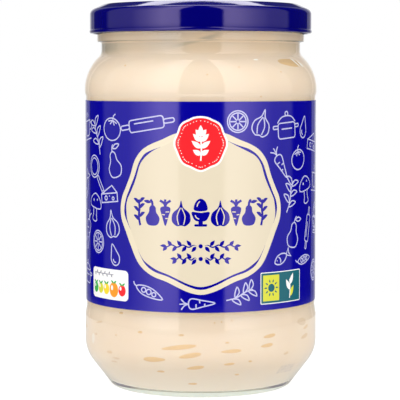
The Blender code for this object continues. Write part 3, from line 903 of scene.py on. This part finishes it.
back = {
    "panels": [(96.5, 133.5), (-133.5, -96.5)], "low": 5.0, "high": 71.2, "bend": 2.0,
    "border": 1.4, "borderBend": 1.2, "borderWidth": 0.4, "ruleWidth": 0.28, "motifWidth": 0.42,
    "table": (101.0, 129.0), "tableFoot": 12.0, "tableRow": 4.4, "tableRows": 9, "tableColumn": 119.0,
    "tableHead": (101.0, 51.5, 129.0, 54.0, 0.3),
    "rules": (-129.0, -101.0), "rulesTop": 44.0, "ruleStep": 3.4, "ruleCount": 6, "lastRuleEnd": -108.0,
    "bars": (-125.0, -106.0), "barHeights": (10.0, 21.0), "barWidths": (0.3, 0.3, 0.6, 0.9),
    "barGaps": (0.3, 0.45, 0.7), "barSeed": 5,
    "motifs": [("cup", 104.5, 62.0, 0, 0.95), ("pear", 115.0, 62.0, 0, 0.95), ("lemon", 125.5, 62.0, 0, 0.95),
               ("eggCup", -125.0, 52.9, 0, 1.05), ("rollingPin", -115.4, 56.5, 68, 0.72),
               ("pot", -105.0, 56.5, 0, 0.9)],
    "sideStart": (66.0, 8.4), "sideStep": (11.6, 14.2), "sideColumns": 3, "sideRows": 5, "sideShift": 3.5,
    "sideSize": 0.86,
}


def inset(points, distance):
    return [tuple(Vector(p) + n * distance) for p, n in zip(points, sideways(points, True))]


def swell(count, width, waist=0.0, beats=2.0, taper=6, least=0.05):
    # widths that start and end in a point and swell between
    widths = []
    for i in range(count):
        along = i / (count - 1)
        beat = 1 - waist * cos(beats * 2 * pi * along) ** 2
        widths.append(max(least, width * min(1.0, taper * along, taper * (1 - along)) * beat))
    return widths


def leaf(x, y, turnBy, length, width, count=7):
    # a pointed leaf that starts at x, y
    c, s = cos(radians(turnBy)), sin(radians(turnBy))
    spine = [(length * i / (count - 1), width / 2 * sin(pi * (i / (count - 1)) ** 0.8)) for i in range(count)]
    shape = spine + [(px, -py) for px, py in spine[-2:0:-1]]
    return [(x + c * px - s * py, y + s * px + c * py) for px, py in shape]


def mirrored(half):
    # a closed outline from its left half
    return half + [(-x, y) for x, y in half[-2:0:-1]]


def drawField():
    edge = smoothPath(mirrored(field["outline"]), closed=True, steps=4)
    fill("paleCream", edge)
    inner = inset(edge, -field["band"])
    fill("cream", inner)
    count = len(inner)
    for start, end in field["accents"]:
        path = [inner[i % count] for i in range(int(count * start), int(count * end))]
        ribbon("blue", path, swell(len(path), field["accent"], *field["accentSwell"]))


def drawBadge():
    # a small seal with the field's outline, a ring of beads and a sprig
    wide, tall = badge["size"]
    middle = badge["height"]
    outline = [(x * wide, middle + (y - field["middle"]) * tall) for x, y in field["outline"]]
    edge = smoothPath(mirrored(outline), closed=True, steps=3)
    fill("white", edge)
    fill("red", inset(edge, -badge["rim"]))
    for x, y in inset(edge, -badge["beadsIn"])[::2]:
        fill("white", ellipse(x, y, badge["beadRadius"], count=6))
    ribbon("white", smoothPath([(x, middle + up) for x, up in badge["stem"]]), badge["stemWidth"])
    for k, (up, length) in enumerate(badge["leaves"]):
        lean = badge["leafAngle"] - badge["leafTurn"] * k
        for way in (-1, 1):
            fill("white", leaf(0.1, middle + up, 90 - way * lean, length, badge["leafWidth"]))
    up, length, width = badge["topLeaf"]
    fill("white", leaf(0.0, middle + up, 90, length, width))


def solidStamp(name, x, y, size, wide):
    # the same motifs as bold silhouettes with pale veins
    def put(points):
        return [(x + size * wide * px, y + size * py) for px, py in points]

    shapes = motifs[name]
    for kind, points in shapes:
        if kind in ("curve", "line"):
            ribbon("blue", put(smoothPath(points)), frieze["stroke"])
    for kind, points in shapes:
        if kind in ("loop", "poly"):
            fill("blue", put(smoothPath(points, True) if kind == "loop" else points))
        elif kind == "disc":
            fill("cream", put(ellipse(*points, count=12)))
    for kind, points in shapes:
        if kind == "vein":
            ribbon("cream", put(smoothPath(points)), frieze["vein"])


def drawOrnament():
    # a frieze of bold produce on each side of an egg cup
    for name, x, size, wide, lift in frieze["motifs"]:
        for way in (-1, 1):
            solidStamp(name, way * x, frieze["base"] + lift, size, way * wide)


def drawFlourish():
    # two light rows of leaves under it
    high, pace = flourish["stemWave"]
    lean = flourish["leafAngle"]
    for middle, reach in flourish["rows"]:
        fill("blue", ellipse(0, middle, flourish["dot"], 1.0, 12))
        tip = reach - flourish["tipGap"]
        for way in (-1, 1):
            stem = [(way * (flourish["stemStart"] + tip * i / 24), middle + high * sin(i * pace))
                    for i in range(25)]
            ribbon("blue", stem, swell(len(stem), flourish["stem"]))
            for k in range(int(reach / flourish["leafStep"]) - 1):
                side = 1 if k % 2 else -1
                out = way * (flourish["leafStart"] + flourish["leafStep"] * k)
                turnBy = side * lean if way > 0 else 180 - side * lean
                length = flourish["leafLength"] - flourish["leafShrink"] * k
                up = middle + flourish["leafLift"] * side
                fill("blue", leaf(out, up, turnBy, length, flourish["leafWidth"]))
            fill("blue", leaf(way * tip, middle, 90 - 90 * way, *flourish["tipLeaf"]))


def drawFruitPanel():
    # lower left, a pale panel with a row of fruit under a garland
    fill("white", box(*fruitPanel["shape"]))
    for paint, x, radius in fruitPanel["fruit"]:
        fill(paint, ellipse(x, fruitPanel["fruitHeight"], radius, 1.15, 24))
        fill("white", ellipse(x - 0.4 * radius, fruitPanel["glintHeight"], 0.26 * radius, 1.5, 10))
        for turnBy in (35, 145):
            fill("green", leaf(x, fruitPanel["leafHeight"] + radius, turnBy, 1.9, 0.8))
    ribbon("grey", fruitPanel["garland"], 0.3)
    start, step, length, width = fruitPanel["garlandLeaf"]
    for k in range(9):
        fill("grey", leaf(start + step * k, fruitPanel["garland"][0][1], 60 if k % 2 else -60, length, width))


def drawSunPanel():
    # lower right, a teal panel with a sun and leaves
    for paint, shape in sunPanel["layers"]:
        fill(paint, box(*shape))
    x, y = sunPanel["sun"]
    start = sunPanel["rayStart"]
    fill("teal", ellipse(x, y, sunPanel["sunRadius"], 1.0, 20))
    for k in range(10):
        turned = k * pi / 5
        fill("teal", leaf(x + start * cos(turned), y + start * sin(turned), 36 * k, *sunPanel["raySize"]))
    for up, turnBy, paint in sunPanel["leaves"]:
        fill(paint, leaf(sunPanel["leafFoot"], up, turnBy, *sunPanel["leafSize"]))
    ribbon("white", smoothPath(sunPanel["stem"]), sunPanel["stemWidth"])


def drawBackPanels():
    # a ruled table and a few ruled lines, with motifs above them
    edge = back["border"]
    for left, right in back["panels"]:
        fill("paleCream", box(left, back["low"], right, back["high"], back["bend"]))
        border = box(left + edge, back["low"] + edge, right - edge, back["high"] - edge, back["borderBend"])
        ribbon("blue", border, back["borderWidth"], closed=True)
    left, right = back["table"]
    heights = [back["tableFoot"] + back["tableRow"] * k for k in range(back["tableRows"])]
    for up in heights:
        ribbon("blue", [(left, up), (right, up)], back["ruleWidth"])
    ribbon("blue", [(back["tableColumn"], heights[0]), (back["tableColumn"], heights[-1])], back["ruleWidth"])
    fill("blue", box(*back["tableHead"]))
    for name, x, y, turnBy, size in back["motifs"]:
        stamp(name, x, y, turnBy, size, "blue", back["motifWidth"])
    left, right = back["rules"]
    for k in range(back["ruleCount"]):
        up = back["rulesTop"] - back["ruleStep"] * k
        end = back["lastRuleEnd"] if k == back["ruleCount"] - 1 else right
        ribbon("blue", [(left, up), (end, up)], back["ruleWidth"])


def drawBars():
    draw = random.Random(back["barSeed"])
    at, end = back["bars"]
    low, high = back["barHeights"]
    while at < end:
        width = draw.choice(back["barWidths"])
        fill("blue", [(at, low), (at + width, low), (at + width, high), (at, high)])
        at += width + draw.choice(back["barGaps"])


def drawSides():
    # outlined motifs between the front and the panels at the back
    for way in (-1, 1):
        for column in range(back["sideColumns"]):
            for row in range(back["sideRows"]):
                name = backNames[(4 * column + 7 * row + (6 if way > 0 else 0)) % len(backNames)]
                turnBy = (53 * (column + 2 * row)) % 64 - 32
                x = back["sideStart"][0] + back["sideStep"][0] * column
                y = back["sideStart"][1] + back["sideStep"][1] * row + back["sideShift"] * (column % 2)
                stamp(name, way * x, y, turnBy, back["sideSize"])


def printMaterial(name):
    material, tree = newMaterial("print" + name[0].upper() + name[1:])
    fibre = tree.noise(tree.place(), label["fibreScale"], 2.0)
    normal = tree.bump(fibre, label["fibreStrength"], label["fibreDepth"])
    sheen = label["blueSheen"] if name == "blue" else label["paleSheen"]
    finishMaterial(tree, tree.surface(paints[name], label["roughness"], {
        "IOR": 1.5, "Specular Tint": (*sheen, 1.0), "Normal": normal}))
    return material


def covered(loops, x, y):
    # which of the places x, y lie inside the loops, by winding number
    winding = np.zeros(len(x), int)
    for loop in loops:
        ends = np.array(loop)
        for (ax, ay), (bx, by) in zip(ends, np.roll(ends, -1, 0)):
            leftOf = (bx - ax) * (y - ay) - (x - ax) * (by - ay)
            winding += ((ay <= y) & (by > y) & (leftOf > 0)).astype(int)
            winding -= ((ay > y) & (by <= y) & (leftOf < 0)).astype(int)
    return winding != 0


def cutArtwork():
    # the flat sheet as triangles, each with the topmost paint that covers it
    half = pi * label["radius"]
    tall = label["top"] - label["bottom"]
    loops = [[(-half, 0.0), (half + label["overlap"], 0.0), (half + label["overlap"], tall), (-half, tall)]]
    step = label["radius"] * radians(label["gridAngle"])
    for i in range(1, int((2 * half + label["overlap"]) / step)):
        loops.append([(-half + i * step, 0.0), (-half + i * step, tall)])
    corners, edges = [], []
    for loop in loops + [loop for _, shape in artwork for loop in shape]:
        first, count = len(corners), len(loop)
        corners += [Vector(p) for p in loop]
        edges += [(first + i, first + (i + 1) % count) for i in range(count)]
    points, _, triangles, _, _, _ = delaunay_2d_cdt(corners, edges, [], 0, label["mergeWithin"])

    middles = np.array(points)[np.array(triangles)].mean(axis=1)
    order = np.argsort(middles[:, 0])
    x, y = middles[order].T
    chosen = np.full(len(order), list(paints).index("blue"))
    for paint, shape in artwork:
        outline = np.concatenate(shape)
        low, high = outline.min(0), outline.max(0)
        first, last = np.searchsorted(x, (low[0], high[0]))
        near = first + np.flatnonzero((y[first:last] > low[1]) & (y[first:last] < high[1]))
        chosen[near[covered(shape, x[near], y[near])]] = list(paints).index(paint)
    slots = np.empty(len(order), int)
    slots[order] = chosen
    return points, triangles, slots.tolist()


def makeLabel():
    drawField()
    drawBadge()
    drawOrnament()
    drawFlourish()
    drawFruitPanel()
    drawSunPanel()
    for name, x, y, turnBy, size in frontMotifs:
        stamp(name, x, y, turnBy, size)
    drawBackPanels()
    drawBars()
    drawSides()
    points, triangles, slots = cutArtwork()
    print("artwork: %d shapes, %d triangles" % (len(artwork), len(triangles)))

    half = pi * label["radius"]
    count = len(points)
    places, normals = [], []
    for depth in (0.0, label["thickness"]):
        for s, h in points:
            # the end that laps over the other one rises smoothly over it
            lift = min(1.0, max(0.0, (s - half + label["lapLength"]) / label["lapLength"]))
            lapped = label["lapLift"] * label["thickness"] * lift * lift * (3 - 2 * lift)
            radius = label["radius"] - depth + lapped
            phi = s / label["radius"]
            places.append((radius * sin(phi) * mm, -radius * cos(phi) * mm, (label["bottom"] + h) * mm))
            normals.append(Vector((sin(phi), -cos(phi), 0.0)) * (1 if depth == 0.0 else -1))
    faces = [tuple(t) for t in triangles] + [tuple(i + count for i in reversed(t)) for t in triangles]
    slots = slots * 2
    owners = {}
    for index, (a, b, c) in enumerate(triangles):
        for edge in ((a, b), (b, c), (c, a)):
            owners[edge] = index
    for (a, b), index in owners.items():
        if (b, a) not in owners:
            faces.append((b, a, a + count, b + count))
            slots.append(slots[index])

    mesh = bpy.data.meshes.new("wrapLabel")
    mesh.from_pydata(places, [], faces)
    for name in paints:
        mesh.materials.append(printMaterial(name))
    mesh.polygons.foreach_set("material_index", slots)
    mesh.shade_smooth()
    flat = Vector((0.0, 0.0, 0.0))
    mesh.normals_split_custom_set([flat if len(face) == 4 else normals[i] for face in faces for i in face])
    piece = bpy.data.objects.new("wrapLabel", mesh)
    bpy.context.scene.collection.objects.link(piece)
    finishPiece(piece, "label", "label")
    print("label: %d faces" % len(faces))


# Studio

studio = {
    "power": 4.0, "panelTop": 80.0, "topFade": 2.0, "panelFoot": 0.62, "footFade": (-0.2, 0.0),
    # brightness of the panels against the angle away from the camera
    "leftPanel": [(0, 0.01), (20, 0.02), (22.5, 3.3), (30, 3.6), (40, 3.7), (57, 2.0), (75, 0.8),
                  (90, 0.62), (108, 0.45), (114, 0.02), (144, 0.03), (147, 0.5), (150, 0.3), (154, 0.3),
                  (161, 0.65), (168, 0.9), (180, 1.0)],
    "rightPanel": [(0, 0.01), (22, 0.02), (24.5, 3.3), (30, 3.6), (40, 3.3), (57, 1.9), (75, 0.85),
                   (90, 0.66), (99, 0.6), (104, 0.02), (144, 0.03), (147, 0.5), (150, 0.3), (154, 0.3),
                   (161, 0.65), (168, 0.9), (180, 1.0)],
    # behind the jar, as parts of a direction of length 1: how far back, sideways and up
    "backdrop": 1.0, "backStart": (0.1, 0.2), "backSides": (0.22, 0.34), "darkStart": (0.2, 0.27),
    "dark": 0.94, "strips": [(0.615, 0.69), (0.84, 0.95)], "stripFade": 0.02,
    "fills": [("topFill", (0, 0, 0), 0.3), ("leftFill", (75, 0, -105), 0.88),
              ("rightFill", (75, 0, 105), 1.0)],
    "fillAngle": 60,
}
paleFloor = {
    "radius": 0.32, "sides": 96, "fade": (0.2, 0.29), "grey": 0.35,
    "glow": {"Camera": 0.75, "Transmission": 0.75, "Diffuse": 0.45},
    # as glossy surfaces mirror it: brighter in front, and darker near the foot, a painted shadow of the jar
    "frontGlow": 1.6, "backGlow": 0.3, "frontFade": (-0.2, 0.05), "nearGlow": 0.45, "nearFade": (0.034, 0.06),
    "underGlow": 0.6, "underFade": (0.03, 0.045),
}
cameraAt = {
    "distance": 0.6425, "height": 0.1179, "tilt": 4.219, "lens": 150.28, "sensor": 36.0, "shift": -0.0017,
}


def makeWorld():
    # two tall light panels left and right of the camera, which surfaces mirror, and a white backdrop
    world = bpy.data.worlds.new("studio")
    world.use_nodes = True
    bpy.context.scene.world = world
    tree = Tree(world.node_tree)
    x, y, z = tree.split(tree.add("ShaderNodeTexCoord", out="Generated"))
    angle = ((-1.0 * y) / (x * x + y * y).math("POWER", 0.5)).math("ARCCOSINE")
    ramps = []
    for side in ("leftPanel", "rightPanel"):
        stops = [(turned / 180, value / studio["power"]) for turned, value in studio[side]]
        ramps.append(tree.add("ShaderNodeValToRGB", {"stops": stops}, {0: angle / pi}, "Color"))
    ramp = tree.mixColour(x.math("GREATER_THAN", 0.0), *ramps)
    # above the backdrop it is dark, but for the strip lamps that the top of the lid mirrors
    back = y.between(*studio["backStart"]) * (1 - abs(x).between(*studio["backSides"]))
    dark = z.between(*studio["darkStart"]) * back * studio["dark"]
    ramp = tree.mixColour(dark, ramp, (0.0, 0.0, 0.0))
    fade = studio["stripFade"]
    strips = sum(z.band(low - fade, low, high, high + fade) for low, high in studio["strips"])
    ramp = tree.mixColour(strips * back, ramp, (1.0, 1.0, 1.0))
    top = [sin(radians(studio["panelTop"] + turned)) for turned in (-studio["topFade"], studio["topFade"])]
    foot = z.between(*studio["footFade"]) * (1 - studio["panelFoot"]) + studio["panelFoot"]
    strength = studio["power"] * (1 - z.between(*top)) * foot
    light = tree.add("ShaderNodeBackground", {}, {"Color": ramp, "Strength": strength}, "Background")
    white = {"Color": (1, 1, 1, 1), "Strength": studio["backdrop"]}
    plain = tree.add("ShaderNodeBackground", {}, white, "Background")
    mix = tree.add("ShaderNodeMixShader", {}, {0: tree.ray("Camera"), 1: light, 2: plain}, "Shader")
    tree.add("ShaderNodeOutputWorld", {}, {"Surface": mix}, None)


def makeFill(name, turned, strength):
    # a soft light that no surface mirrors
    lamp = bpy.data.lights.new(name, "SUN")
    lamp.energy = strength
    lamp.angle = radians(studio["fillAngle"])
    item = bpy.data.objects.new(name, lamp)
    item.rotation_euler = [radians(a) for a in turned]
    item.visible_glossy = False
    item.visible_transmission = False
    bpy.context.scene.collection.objects.link(item)


def floorMaterial():
    material, tree = newMaterial("paleFloor")
    place = tree.place()
    y = tree.split(place)[1]
    reach = tree.vector("LENGTH", place)
    glow = sum(tree.ray(kind) * power for kind, power in paleFloor["glow"].items())
    front = (1 - y.between(*paleFloor["frontFade"])) * paleFloor["frontGlow"] + paleFloor["backGlow"]
    near = paleFloor["nearGlow"]
    # painted shadow of the jar near its foot, seen only in reflections
    glow = glow + tree.ray("Glossy") * front * (near + (1 - near) * reach.between(*paleFloor["nearFade"]))
    under = (1 - reach.between(*paleFloor["underFade"])) * paleFloor["underGlow"]
    glow = glow + tree.ray("Diffuse") * under
    surface = tree.surface((paleFloor["grey"],) * 3, 0.9, {
        "Specular IOR Level": 0.0, "Emission Color": (1, 1, 1, 1), "Emission Strength": glow})
    clear = tree.add("ShaderNodeBsdfTransparent", {}, {}, "BSDF")
    fade = reach.between(*paleFloor["fade"])
    finishMaterial(tree, tree.add("ShaderNodeMixShader", {}, {0: fade, 1: surface, 2: clear}, "Shader"))
    material.cycles.emission_sampling = "NONE"
    return material


def makeFloor():
    # a pale glowing disc that fades into the backdrop
    mesh = bpy.data.meshes.new("floor")
    rim = ellipse(0, 0, paleFloor["radius"], count=paleFloor["sides"])
    mesh.from_pydata([(x, y, 0.0) for x, y in rim], [], [list(range(paleFloor["sides"]))])
    mesh.materials.append(floorMaterial())
    floor = bpy.data.objects.new("floor", mesh)
    bpy.context.scene.collection.objects.link(floor)


def makeCamera():
    lens = bpy.data.cameras.new("camera")
    lens.lens = cameraAt["lens"]
    lens.sensor_width = cameraAt["sensor"]
    lens.shift_x = cameraAt["shift"]
    camera = bpy.data.objects.new("camera", lens)
    camera.location = (0, -cameraAt["distance"], cameraAt["height"])
    camera.rotation_euler = (radians(90 - cameraAt["tilt"]), 0, 0)
    bpy.context.scene.collection.objects.link(camera)
    bpy.context.scene.camera = camera


def makeStudio():
    makeWorld()
    for name, turned, strength in studio["fills"]:
        makeFill(name, turned, strength)
    makeFloor()
    makeCamera()
    bpy.context.scene.view_settings.view_transform = "Standard"
    print("studio ready")


makeStudio()
makeJar()
makeContents()
makePockets()
makeLid()
makeLabel()
